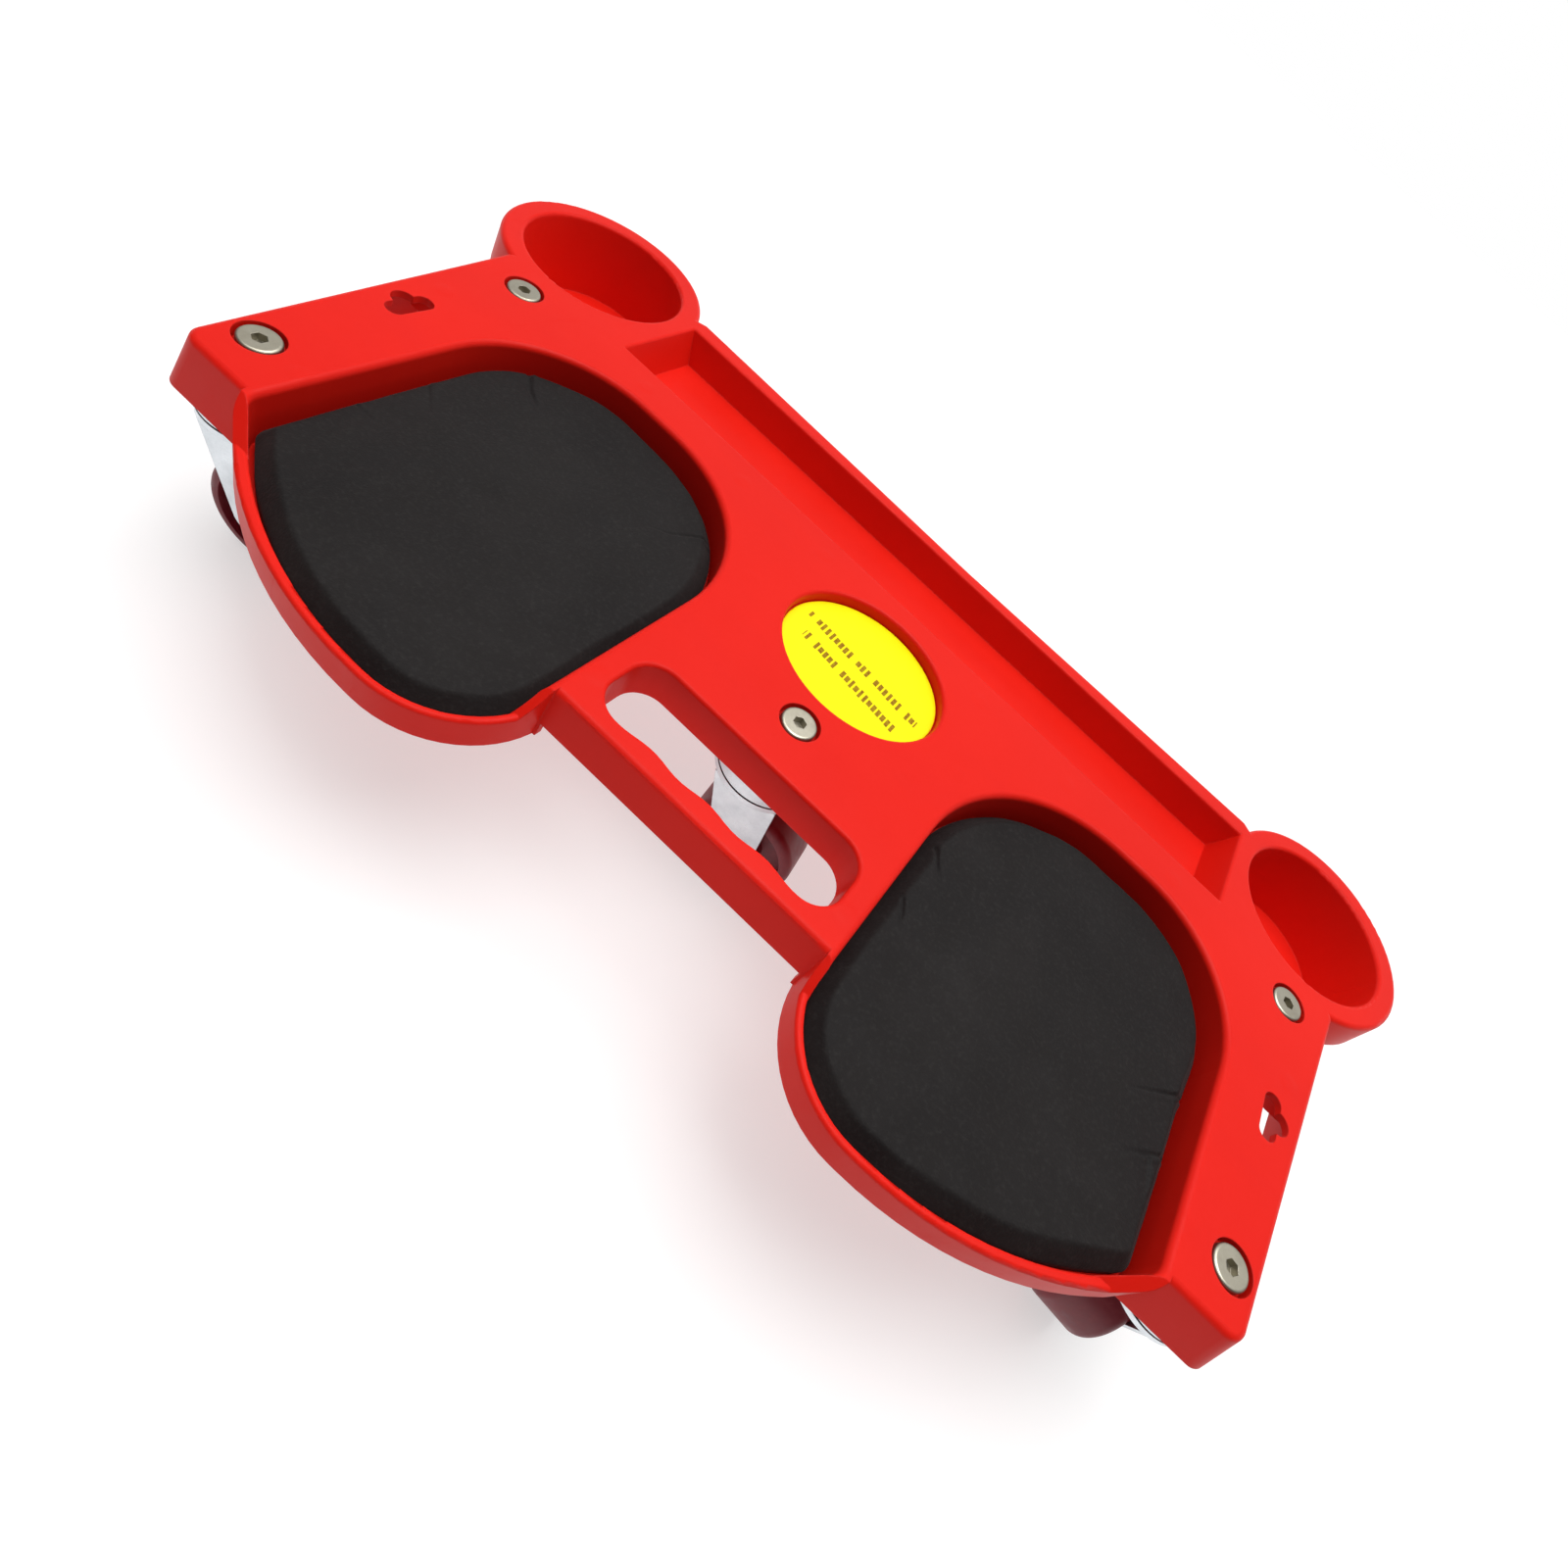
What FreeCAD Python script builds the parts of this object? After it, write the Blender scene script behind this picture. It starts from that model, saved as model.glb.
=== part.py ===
import FreeCAD, Part
import math
import os
import Sketcher

# Rolling kneeling board: a moulded deck with two knee pads, two cup wells, a tool tray,
# a finger-grip handle, and five swivel casters.
# Plan axes: +X to the right seen from the handle side, +Y towards the tray, +Z up.
# Deck sketches are drawn with the deck's top skin at height 0 and the line through both
# cup centres at Y 0; every piece's Placement then carries it to the floor-based frame.

os.makedirs("parts", exist_ok=True)
doc = FreeCAD.newDocument("KneelingCreeper")

DIMS = {
    # overall placing
    "deck_height": 95.0,
    "depth_shift": 99.25,
    # deck skirt
    "skirt_depth": 22.5,
    "skin": 3.0,
    "front_edge": 209.5,
    "front_edge_low": 213.0,
    "front_half": 236.5,
    "front_half_low": 243.5,
    "end_half": 251.0,
    "end_half_low": 256.0,
    "end_rear": 48.0,
    "neck_half": 226.0,
    "rear_corner_half": 184.0,
    "rear_corner": 25.0,
    "rear_corner_low": 27.0,
    "rear_middle": 21.5,
    "rear_middle_low": 23.5,
    # cup wells
    "cup_half": 233.4,
    "cup_radius": 40.0,
    "cup_floor_radius": 34.5,
    "cup_depth": 36.0,
    "cup_wall": 2.2,
    "cup_rim_radius": 50.5,
    "cup_rim_low_radius": 52.0,
    "cup_rim_depth": 18.0,
    # knee wells
    "well_inner": 64.0,
    "well_outer": 207.0,
    "well_outer_front": 203.5,
    "well_rear": 63.5,
    "well_side_front": 210.0,
    "well_front": 247.3,
    "well_front_corner": 153.6,
    "well_depth": 20.0,
    "well_wall": 3.2,
    "rear_inner_bend": 70.0,
    "rear_outer_bend": 55.0,
    "front_bend": 150.0,
    "front_inner_bend": 39.0,
    "side_bend": 8.0,
    "rim_depth": 9.5,
    "rim_ramp": 10.2,
    # knee pads
    "pad_gap": 1.0,
    "pad_thickness": 11.5,
    "pad_bevel": 5.0,
    # tray
    "tray_half": 184.0,
    "tray_floor_half": 178.0,
    "tray_front": 39.5,
    "tray_floor_front": 37.5,
    "tray_rear": 14.0,
    "tray_floor_rear": 11.0,
    "tray_depth": 16.0,
    "tray_wall": 2.5,
    # handle slot
    "slot_half": 53.0,
    "slot_rear": 168.5,
    "slot_front": 200.5,
    "slot_bend": 12.0,
    "slot_wall": 3.0,
    "grip_pitch": 25.5,
    "grip_height": 1.6,
    "handle_depth": 16.5,
    "handle_half": 60.0,
    # hanging keyholes
    "key_half": 230.0,
    "key_slot_front": 132.8,
    "key_slot_rear": 111.0,
    "key_round": 4.9,
    "key_round_y": 121.6,
    "key_nub_half": 234.0,
    # label plate
    "label_y": 89.1,
    "label_long": 38.6,
    "label_short": 35.4,
    "label_recess": 6.0,
    "label_thickness": 0.8,
    # caster mounting points
    "front_caster_half": 227.0,
    "front_caster_y": 188.5,
    "rear_caster_half": 228.0,
    "rear_caster_y": 60.8,
    "middle_caster_y": 142.0,
    "boss_radius": 11.0,
    "head_recess_radius": 8.8,
    "head_recess_depth": 4.3,
    "barrel_hole_radius": 5.3,
    # cap nut
    "cap_radius": 7.6,
    "cap_thickness": 4.2,
    "cap_edge": 1.1,
    "cap_bend": 1.2,
    "barrel_radius": 5.0,
    "barrel_length": 13.0,
    "stem_bore": 4.1,
    "hex_across": 5.0,
    "hex_depth": 3.0,
    # swivel
    "plate_radius": 20.5,
    "plate_thickness": 2.2,
    "plate_rim_depth": 7.0,
    "rim_wall": 2.0,
    "race_step": 4.4,
    "race_inner": 9.5,
    "race_outer": 17.0,
    "stem_radius": 4.0,
    "stem_top": 14.5,
    "collar_radius": 6.0,
    "collar_top": 4.4,
    "pin_head_radius": 9.0,
    "pin_head_top": 12.7,
    "pin_head_low": 15.3,
    "ball_radius": 2.5,
    "ball_circle": 13.5,
    "ball_level": 7.0,
    # fork
    "crown_radius": 20.6,
    "crown_top": 7.8,
    "crown_web": 9.8,
    "crown_web_low": 12.4,
    "crown_low": 10.4,
    "crown_wall": 2.4,
    "crown_bore": 6.08,
    "leg_inner": 12.3,
    "leg_thickness": 2.2,
    "leg_top_half": 14.6,
    "leg_top": 13.5,
    "leg_low": 56.5,
    "leg_front": 21.5,
    "leg_back": 2.5,
    "leg_bend": 8.5,
    # wheel and axle
    "trail": 12.0,
    "axle_level": 47.5,
    "wheel_radius": 25.0,
    "wheel_half_width": 11.8,
    "tread_bend": 3.5,
    "hub_radius": 9.0,
    "hub_half_width": 12.0,
    "web_half": 6.0,
    "web_outer": 19.5,
    "wheel_bore": 4.58,
    "sleeve_radius": 4.5,
    "sleeve_bore": 3.06,
    "axle_radius": 3.0,
    "axle_hole": 3.06,
    "axle_head_across": 10.0,
    "axle_head_height": 3.6,
    "axle_end": 20.2,
    "nut_thickness": 4.6,
    # shared small dimensions
    "soft_edge": 2.5,
    "well_edge": 2.6,
    "tray_edge": 1.6,
    "cup_edge": 1.8,
    "slot_edge": 1.6,
    "rim_edge": 1.4,
    "corner_bend": 7.0,
    "overlap": 1.0,
    "wide": 300.0,
    "hollow_depth": 19.5,
    "rib_half": 1.2,
    "rib_height": 10.0,
    "end_rib_y": 105.0,
    "small_edge": 0.8,
    "hex_half_flat": 2.5,
    "hex_half_side": 1.443,
    "hex_side": 2.887,
    "crown_rim": 18.4,
    "fork_span": 31.0,
    "axle_head_half_flat": 5.0,
    "axle_head_half_side": 2.887,
    "axle_head_side": 5.774,
    "nut_bore": 3.06,
    "three_half_pitch": 38.25,
    "half_pitch": 12.75,
    "grip_dip": 0.8,
    "grip_bend": 26.0,
    "key_slot_half": 4.0,
    "key_bend": 3.8,
    "label_gap": 0.6,
    "label_edge": 1.6,
    "label_rim": 5.0,
}

BALL_COUNT = 12

sheet = doc.addObject("Spreadsheet::Sheet", "Dims")
for row, (alias, value) in enumerate(DIMS.items(), start=1):
    sheet.set("A%d" % row, alias)
    sheet.set("B%d" % row, str(value))
    sheet.setAlias("B%d" % row, alias)
doc.recompute()


def dim(name):
    """Value of one sheet cell."""
    return float(sheet.get(name))


def value_of(term):
    """Number for a term such as '-slot_half' or 'well_inner-well_wall'."""
    total = 0.0
    for sign, alias in split_term(term):
        total += sign * dim(alias)
    return total


def split_term(term):
    parts = []
    sign = 1
    word = ""
    for char in term:
        if char in "+-":
            if word:
                parts.append((sign, word))
            sign = 1 if char == "+" else -1
            word = ""
        else:
            word += char
    parts.append((sign, word))
    return [(sign, alias) for sign, alias in parts if alias != "zero"]


def formula(term):
    """Sheet formula in millimetres for the same term."""
    pieces = []
    for sign, alias in split_term(term):
        pieces.append(("+" if sign > 0 else "-") + " Dims." + alias)
    return "(" + " ".join(pieces).lstrip("+ ") + ") * 1 mm"


def negate(term):
    return "".join(("-" if sign > 0 else "+") + alias for sign, alias in split_term(term)).lstrip("+")


def bind(obj, prop, term):
    obj.setExpression(prop, formula(term))


def make_body(label):
    body = doc.addObject("PartDesign::Body", label)
    body.Label = label
    return body


def origin_plane(body, role):
    for feature in body.Origin.OriginFeatures:
        if feature.Role == role:
            return feature
    raise ValueError(role)


def make_sketch(body, name, role="XY_Plane", level=None):
    sketch = body.newObject("Sketcher::SketchObject", name)
    sketch.AttachmentSupport = [(origin_plane(body, role), "")]
    sketch.MapMode = "FlatFace"
    if level is not None:
        sketch.AttachmentOffset = FreeCAD.Placement(
            FreeCAD.Vector(0, 0, value_of(level)), FreeCAD.Rotation())
        sketch.setExpression("AttachmentOffset.Base.z", formula(level))
    return sketch


def pin_point(sketch, geo, pos, term_x, term_y):
    """Fix one point of the sketch with distances read from the sheet."""
    for axis_name, term, axis_geo in (("DistanceX", term_x, -2), ("DistanceY", term_y, -1)):
        if term == "zero":
            sketch.addConstraint(Sketcher.Constraint("PointOnObject", geo, pos, axis_geo))
            continue
        index = sketch.addConstraint(
            Sketcher.Constraint(axis_name, -1, 1, geo, pos, value_of(term)))
        sketch.setExpression("Constraints[%d]" % index, formula(term))


def polygon(sketch, corners, bends=None):
    """Closed outline through (x term, y term) corners, each corner pinned to the sheet.

    bends holds a radius term for each corner, or None for a sharp one.
    """
    first = sketch.GeometryCount
    count = len(corners)
    spots = [FreeCAD.Vector(value_of(cx), value_of(cy), 0) for cx, cy in corners]
    for i in range(count):
        sketch.addGeometry(Part.LineSegment(spots[i], spots[(i + 1) % count]), False)
    for i in range(count):
        after = first + (i + 1) % count
        sketch.addConstraint(Sketcher.Constraint("Coincident", first + i, 2, after, 1))
    anchors = [(first + i, 1) for i in range(count)]
    arcs = []
    for i, bend in enumerate(bends or []):
        if bend is None:
            continue
        before = first + (i - 1) % count
        sketch.fillet(before, 2, value_of(bend), True, True)
        corner_point = sketch.GeometryCount - 1
        anchors[i] = (corner_point, 1)
        arcs.append((corner_point - 1, bend))
    for (geo, pos), (cx, cy) in zip(anchors, corners):
        pin_point(sketch, geo, pos, cx, cy)
    for geo, bend in arcs:
        index = sketch.addConstraint(Sketcher.Constraint("Radius", geo, value_of(bend)))
        sketch.setExpression("Constraints[%d]" % index, formula(bend))


def circle(sketch, term_x, term_y, term_r):
    centre = FreeCAD.Vector(value_of(term_x), value_of(term_y), 0)
    geo = sketch.addGeometry(Part.Circle(centre, FreeCAD.Vector(0, 0, 1), value_of(term_r)), False)
    if term_x == "zero" and term_y == "zero":
        sketch.addConstraint(Sketcher.Constraint("Coincident", geo, 3, -1, 1))
    else:
        pin_point(sketch, geo, 3, term_x, term_y)
    index = sketch.addConstraint(Sketcher.Constraint("Radius", geo, value_of(term_r)))
    sketch.setExpression("Constraints[%d]" % index, formula(term_r))


def solid_volume(body):
    return body.Shape.Volume


def expect(body, feature, grows):
    """Recompute and confirm that the feature added or removed material."""
    before = solid_volume(body) if body.Shape.Solids else 0.0
    doc.recompute()
    after = solid_volume(body)
    if grows and after <= before + 1e-3:
        raise ValueError("%s added nothing" % feature.Name)
    if not grows and after >= before - 1e-3:
        raise ValueError("%s removed nothing" % feature.Name)


def pad(body, sketch, name, term, upwards=True, midplane=False):
    feature = body.newObject("PartDesign::Pad", name)
    feature.Profile = sketch
    feature.Length = value_of(term)
    bind(feature, "Length", term)
    feature.Reversed = not upwards
    feature.Midplane = midplane
    expect(body, feature, True)
    return feature


def pocket(body, sketch, name, term, downwards=True):
    feature = body.newObject("PartDesign::Pocket", name)
    feature.Profile = sketch
    feature.Length = value_of(term)
    bind(feature, "Length", term)
    feature.Reversed = not downwards
    expect(body, feature, False)
    return feature


def loft(body, kind, name, lower, upper, grows):
    feature = body.newObject("PartDesign::" + kind, name)
    feature.Profile = lower
    feature.Sections = [upper]
    feature.Ruled = True
    expect(body, feature, grows)
    return feature


def revolve(body, kind, name, sketch, grows=True):
    feature = body.newObject("PartDesign::" + kind, name)
    feature.Profile = sketch
    feature.ReferenceAxis = (sketch, ["V_Axis"])
    feature.Angle = 360.0
    expect(body, feature, grows)
    return feature


def edge_names(shape, test):
    return ["Edge%d" % (i + 1) for i, edge in enumerate(shape.Edges) if test(edge)]


def blend(body, kind, name, term, test):
    """Fillet or chamfer of the edges of the body's tip that pass the test."""
    base = body.Tip
    names = edge_names(base.Shape, test)
    if not names:
        raise ValueError("%s found no edges" % name)
    feature = body.newObject("PartDesign::" + kind, name)
    feature.Base = (base, names)
    prop = "Radius" if kind == "Fillet" else "Size"
    setattr(feature, prop, value_of(term))
    bind(feature, prop, term)
    doc.recompute()
    if feature.Shape.isNull() or not feature.Shape.isValid() or "Invalid" in feature.State:
        raise ValueError("%s failed" % name)
    return feature


def at_level(level, inside):
    """Test for edges that lie wholly at one height and whose middle passes inside()."""
    def test(edge):
        box = edge.BoundBox
        if box.ZLength > 0.01 or abs(box.ZMax - level) > 0.01:
            return False
        return inside(edge.valueAt((edge.FirstParameter + edge.LastParameter) / 2))
    return test


def place(obj, term_x="zero", term_y="zero", term_z="deck_height", angle=0.0):
    """Carry a piece from the deck's drawing frame to the floor-based frame."""
    spot = FreeCAD.Vector(value_of(term_x), value_of(term_y) + dim("depth_shift"), value_of(term_z))
    obj.Placement = FreeCAD.Placement(spot, FreeCAD.Rotation(FreeCAD.Vector(0, 0, 1), angle))


SIDES = (("left", "-", -1), ("right", "", 1))


# ---------------------------------------------------------------- deck moulding

def deck_outline(low):
    """Outline of the deck skirt at the top skin or at the skirt's lower edge."""
    tail = "_low" if low else ""
    half = [
        ("front_half" + tail, "-front_edge" + tail),
        ("end_half" + tail, "-end_rear"),
        ("neck_half", "zero"),
        ("rear_corner_half", "rear_corner" + tail),
    ]
    mirrored = [("-" + term_x, term_y) for term_x, term_y in reversed(half)]
    return half + [("zero", "rear_middle" + tail)] + mirrored


def well_outline(sign, offset="", bigger=True):
    """Corners of a knee well, optionally made bigger or smaller all round by one offset."""
    def out(term, outward):
        if not offset:
            return term
        return term + ("+" if outward == bigger else "-") + offset
    def side(term):
        return term if sign == "" else negate(term)
    def back(term):
        return negate(term)
    return [
        (side(out("well_inner", False)), back(out("well_rear", False))),
        (side(out("well_outer", True)), back(out("well_rear", False))),
        (side(out("well_outer_front", True)), back(out("well_side_front", True))),
        (side(out("well_front_corner", True)), back(out("well_front", True))),
        (side(out("well_inner", False)), back(out("well_front", True))),
    ]


def shrink(corners, term):
    """The same outline moved inwards by a skin thickness, corner by corner."""
    moved = []
    for cx, cy in corners:
        inward_x = "" if cx == "zero" else ("+" if value_of(cx) < 0 else "-") + term
        inward_y = ("+" if value_of(cy) < 0 else "-") + term
        moved.append((cx + inward_x, cy + inward_y))
    return moved


def box_outline(half, front, rear):
    """Rectangle symmetric about X 0 between two Y terms."""
    return [(negate(half), front), (half, front), (half, rear), (negate(half), rear)]


def oval_sketch(name, margin, level):
    """Oval at the label's place, wider than the label by a margin."""
    sketch = make_sketch(deck, name)
    centre = FreeCAD.Vector(0, -dim("label_y"), 0)
    major = value_of("label_long+" + margin)
    minor = value_of("label_short+" + margin)
    geo = sketch.addGeometry(Part.Ellipse(centre, major, minor), False)
    sketch.exposeInternalGeometry(geo)
    pin_point(sketch, geo, 3, "zero", "-label_y")
    sketch.addConstraint(Sketcher.Constraint("Horizontal", geo + 1))
    for line, term in ((geo + 1, "label_long+" + margin), (geo + 2, "label_short+" + margin)):
        index = sketch.addConstraint(Sketcher.Constraint("Distance", line, 2 * value_of(term)))
        sketch.setExpression("Constraints[%d]" % index, "2 * " + formula(term))
    sketch.AttachmentOffset = FreeCAD.Placement(FreeCAD.Vector(0, 0, value_of(level)), FreeCAD.Rotation())
    sketch.setExpression("AttachmentOffset.Base.z", formula(level) if level != "zero" else "0 mm")
    return sketch


def along(sketches):
    """Test for edges whose middle stands over an outline drawn in one of the sketches."""
    outlines = [edge for sketch in sketches for edge in sketch.Shape.Edges]
    def inside(spot):
        foot = Part.Vertex(FreeCAD.Vector(spot.x, spot.y, 0))
        return any(outline.distToShape(foot)[0] < 0.05 for outline in outlines)
    return inside


def anywhere(_):
    return True


def soften(name, term, level, inside):
    """Fillet edges at one level and report how many there were."""
    feature = blend(deck, "Fillet", name, term, at_level(level, inside))
    print(name, len(feature.Base[1]), feature.Shape.isValid())


deck = make_body("deck")
deck_bends = ["corner_bend"] + [None] * 7 + ["corner_bend"]
top_sketch = make_sketch(deck, "DeckTop")
polygon(top_sketch, deck_outline(False), deck_bends)
low_sketch = make_sketch(deck, "DeckLow", level="-skirt_depth")
polygon(low_sketch, deck_outline(True), deck_bends)
loft(deck, "AdditiveLoft", "DeckBlock", top_sketch, low_sketch, True)

# rims round the two cup wells
for side, sign, _ in SIDES:
    rim_top = make_sketch(deck, "CupRimTop_" + side)
    circle(rim_top, sign + "cup_half", "zero", "cup_rim_radius")
    rim_low = make_sketch(deck, "CupRimLow_" + side, level="-cup_rim_depth")
    circle(rim_low, sign + "cup_half", "zero", "cup_rim_low_radius")
    loft(deck, "AdditiveLoft", "CupRim_" + side, rim_top, rim_low, True)

# soft outer edge of the top skin
blend(deck, "Fillet", "OuterEdge", "soft_edge", at_level(0.0, anywhere))

# hollow underside of the skirt and of the cup rims
hollow_low = make_sketch(deck, "HollowLow", level="-skirt_depth")
polygon(hollow_low, shrink(deck_outline(True), "skin"))
hollow_top = make_sketch(deck, "HollowTop", level="-skin")
polygon(hollow_top, shrink(deck_outline(False), "skin"))
loft(deck, "SubtractiveLoft", "Hollow", hollow_low, hollow_top, False)
for side, sign, _ in SIDES:
    ring = make_sketch(deck, "RimHollow_" + side, level="-skirt_depth")
    circle(ring, sign + "cup_half", "zero", "cup_rim_radius-skin")
    pocket(deck, ring, "RimHollowCut_" + side, "hollow_depth", downwards=False)

# walls of the two knee wells
well_bends = ["rear_inner_bend", "rear_outer_bend", "side_bend", "front_bend", "front_inner_bend"]
outer_bends = [bend + "+well_wall" for bend in well_bends]
for side, sign, _ in SIDES:
    wall = make_sketch(deck, "WellWall_" + side, level="-skirt_depth")
    polygon(wall, well_outline(sign, "well_wall"), outer_bends)
    pad(deck, wall, "WellBlock_" + side, "skirt_depth")

# knee well cavities
cavities = []
for side, sign, _ in SIDES:
    cavity = make_sketch(deck, "WellCavity_" + side)
    polygon(cavity, well_outline(sign), well_bends)
    cavities.append(cavity)
    pocket(deck, cavity, "WellCut_" + side, "well_depth")

soften("WellEdge", "well_edge", 0.0, along(cavities))

# the front rim of each well drops below the deck on a short ramp
for side, sign, turn in SIDES:
    ramp = make_sketch(deck, "RimRamp_" + side, role="YZ_Plane", level=sign + "well_inner")
    polygon(ramp, [
        ("-front_edge-overlap", "overlap"),
        ("-front_edge-overlap", "zero"),
        ("-front_edge-overlap-rim_ramp", "-rim_depth"),
        ("-wide", "-rim_depth"),
        ("-wide", "overlap"),
    ])
    feature = deck.newObject("PartDesign::Pocket", "RimDrop_" + side)
    feature.Profile = ramp
    feature.Length = dim("wide")
    bind(feature, "Length", "wide")
    feature.Midplane = True
    expect(deck, feature, False)

# tray tub and its walls
tub_low = make_sketch(deck, "TrayTub", level="-tray_depth-tray_wall")
polygon(tub_low, box_outline("tray_half+tray_wall", "-tray_front-tray_wall", "rear_middle-overlap"))
pad(deck, tub_low, "TrayTubBlock", "tray_depth")

# outer walls of the cup wells
for side, sign, _ in SIDES:
    well_top = make_sketch(deck, "CupTop_" + side, level="-overlap")
    circle(well_top, sign + "cup_half", "zero", "cup_radius+cup_wall")
    well_low = make_sketch(deck, "CupLow_" + side, level="-cup_depth-cup_wall")
    circle(well_low, sign + "cup_half", "zero", "cup_floor_radius+cup_wall")
    loft(deck, "AdditiveLoft", "CupWall_" + side, well_top, well_low, True)

# thicker skin under the label's seat
label_back = oval_sketch("LabelBack", "label_rim", "-label_recess-skin")
pad(deck, label_back, "LabelBackPad", "label_recess+overlap")

# bosses for the caster bolts
MOUNTS = [
    ("front_left", "-front_caster_half", "-front_caster_y"),
    ("front_right", "front_caster_half", "-front_caster_y"),
    ("rear_left", "-rear_caster_half", "-rear_caster_y"),
    ("rear_right", "rear_caster_half", "-rear_caster_y"),
    ("middle", "zero", "-middle_caster_y"),
]
boss = make_sketch(deck, "Bosses", level="-skirt_depth")
for _, term_x, term_y in MOUNTS:
    circle(boss, term_x, term_y, "boss_radius")
pad(deck, boss, "BossPads", "hollow_depth+overlap")

# wall round the handle slot
slot_wall = make_sketch(deck, "SlotWall", level="-handle_depth")
polygon(slot_wall, box_outline("slot_half+slot_wall", "-front_edge", "-slot_rear+slot_wall"),
        [None, None, "slot_bend+slot_wall", "slot_bend+slot_wall"])
pad(deck, slot_wall, "SlotWallBlock", "handle_depth-overlap")

# stiffening ribs under the middle of the deck and under each end
ribs = make_sketch(deck, "MiddleRibs", level="-skin-rib_height")
polygon(ribs, box_outline("well_inner-overlap", "-middle_caster_y-rib_half", "-middle_caster_y+rib_half"))
pad(deck, ribs, "MiddleRib", "rib_height+overlap")
spine = make_sketch(deck, "SpineRib", level="-skin-rib_height")
polygon(spine, box_outline("rib_half", "-slot_rear", "-tray_front"))
pad(deck, spine, "SpineRibPad", "rib_height+overlap")
for side, sign, _ in SIDES:
    end_rib = make_sketch(deck, "EndRib_" + side, level="-skin-rib_height")
    inner = sign + "well_outer"
    outer = "-end_half+key_round" if sign else "end_half-key_round"
    corners = [
        (inner, "-end_rib_y-rib_half"),
        (outer, "-end_rib_y-rib_half"),
        (outer, "-end_rib_y+rib_half"),
        (inner, "-end_rib_y+rib_half"),
    ]
    polygon(end_rib, corners)
    pad(deck, end_rib, "EndRibPad_" + side, "rib_height+overlap")

# the handle's front skirt is shallower than the rest
relief = make_sketch(deck, "HandleRelief", level="-skirt_depth")
polygon(relief, box_outline("handle_half", "-front_edge_low-overlap", "-slot_rear+slot_wall"))
pocket(deck, relief, "HandleReliefCut", "skirt_depth-handle_depth", downwards=False)

# tray cavity
tray_top = make_sketch(deck, "TrayTop")
polygon(tray_top, box_outline("tray_half", "-tray_front", "tray_rear"))
tray_low = make_sketch(deck, "TrayFloor", level="-tray_depth")
polygon(tray_low, box_outline("tray_floor_half", "-tray_floor_front", "tray_floor_rear"))
loft(deck, "SubtractiveLoft", "TrayCut", tray_top, tray_low, False)

# cup cavities
mouths = []
for side, sign, _ in SIDES:
    mouth = make_sketch(deck, "CupMouth_" + side)
    circle(mouth, sign + "cup_half", "zero", "cup_radius")
    mouths.append(mouth)
    floor = make_sketch(deck, "CupFloor_" + side, level="-cup_depth")
    circle(floor, sign + "cup_half", "zero", "cup_floor_radius")
    loft(deck, "SubtractiveLoft", "CupCut_" + side, mouth, floor, False)

# handle slot with finger grips along its front edge
grips = [("slot_half", "-slot_front"), ("slot_half", "-slot_rear"),
         ("-slot_half", "-slot_rear"), ("-slot_half", "-slot_front")]
grip_bends = ["slot_bend"] * 4
for step, crest in (("-three_half_pitch", False), ("-grip_pitch", True), ("-half_pitch", False),
                    ("zero", True), ("half_pitch", False), ("grip_pitch", True),
                    ("three_half_pitch", False)):
    grips.append((step, "-slot_front+grip_height" if crest else "-slot_front-grip_dip"))
    grip_bends.append("grip_bend")
slot = make_sketch(deck, "HandleSlot")
polygon(slot, grips, grip_bends)
pocket(deck, slot, "HandleSlotCut", "skirt_depth")

# bolt recesses, bolt holes, keyholes and the label recess
recess = make_sketch(deck, "HeadRecess")
holes = make_sketch(deck, "BarrelHoles")
for _, term_x, term_y in MOUNTS:
    circle(recess, term_x, term_y, "head_recess_radius")
    circle(holes, term_x, term_y, "barrel_hole_radius")
pocket(deck, recess, "HeadRecessCut", "head_recess_depth")
pocket(deck, holes, "BarrelHoleCut", "skirt_depth+overlap")
for side, sign, _ in SIDES:
    key_slot = make_sketch(deck, "KeySlot_" + side)
    low_x = "-key_half-key_slot_half" if sign else "key_half-key_slot_half"
    high_x = "-key_half+key_slot_half" if sign else "key_half+key_slot_half"
    polygon(key_slot, [(low_x, "-key_slot_front"), (high_x, "-key_slot_front"),
                       (high_x, "-key_slot_rear"), (low_x, "-key_slot_rear")], ["key_bend"] * 4)
    pocket(deck, key_slot, "KeySlotCut_" + side, "skin+overlap")
    key_round = make_sketch(deck, "KeyRound_" + side)
    circle(key_round, sign + "key_nub_half", "-key_round_y", "key_round")
    pocket(deck, key_round, "KeyRoundCut_" + side, "skin+overlap")
label_seat = oval_sketch("LabelSeat", "label_gap", "zero")
pocket(deck, label_seat, "LabelSeatCut", "label_recess")


soften("TrayEdge", "tray_edge", 0.0, along([tray_top]))
soften("CupEdge", "cup_edge", 0.0, along(mouths))
soften("SlotEdge", "slot_edge", 0.0, along([slot]))
soften("LabelEdge", "label_edge", 0.0, along([label_seat]))
ramp_foot = -value_of("front_edge+overlap+rim_ramp")
soften("RimEdge", "rim_edge", -dim("rim_depth"), lambda spot: abs(spot.y - ramp_foot) > 0.01)
place(deck)


# ---------------------------------------------------------------- knee pads and label plate

pads = []
for side, sign, turn in SIDES:
    piece = make_body("knee_pad_" + side)
    base = make_sketch(piece, "PadBase_" + side, level="-well_depth")
    polygon(base, well_outline(sign, "pad_gap", False), [bend + "-pad_gap" for bend in well_bends])
    pad(piece, base, "PadBlock_" + side, "pad_thickness")
    crown = value_of("pad_thickness-well_depth")
    blend(piece, "Chamfer", "PadBevel_" + side, "pad_bevel", at_level(crown, anywhere))
    place(piece)
    pads.append(piece)

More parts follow.
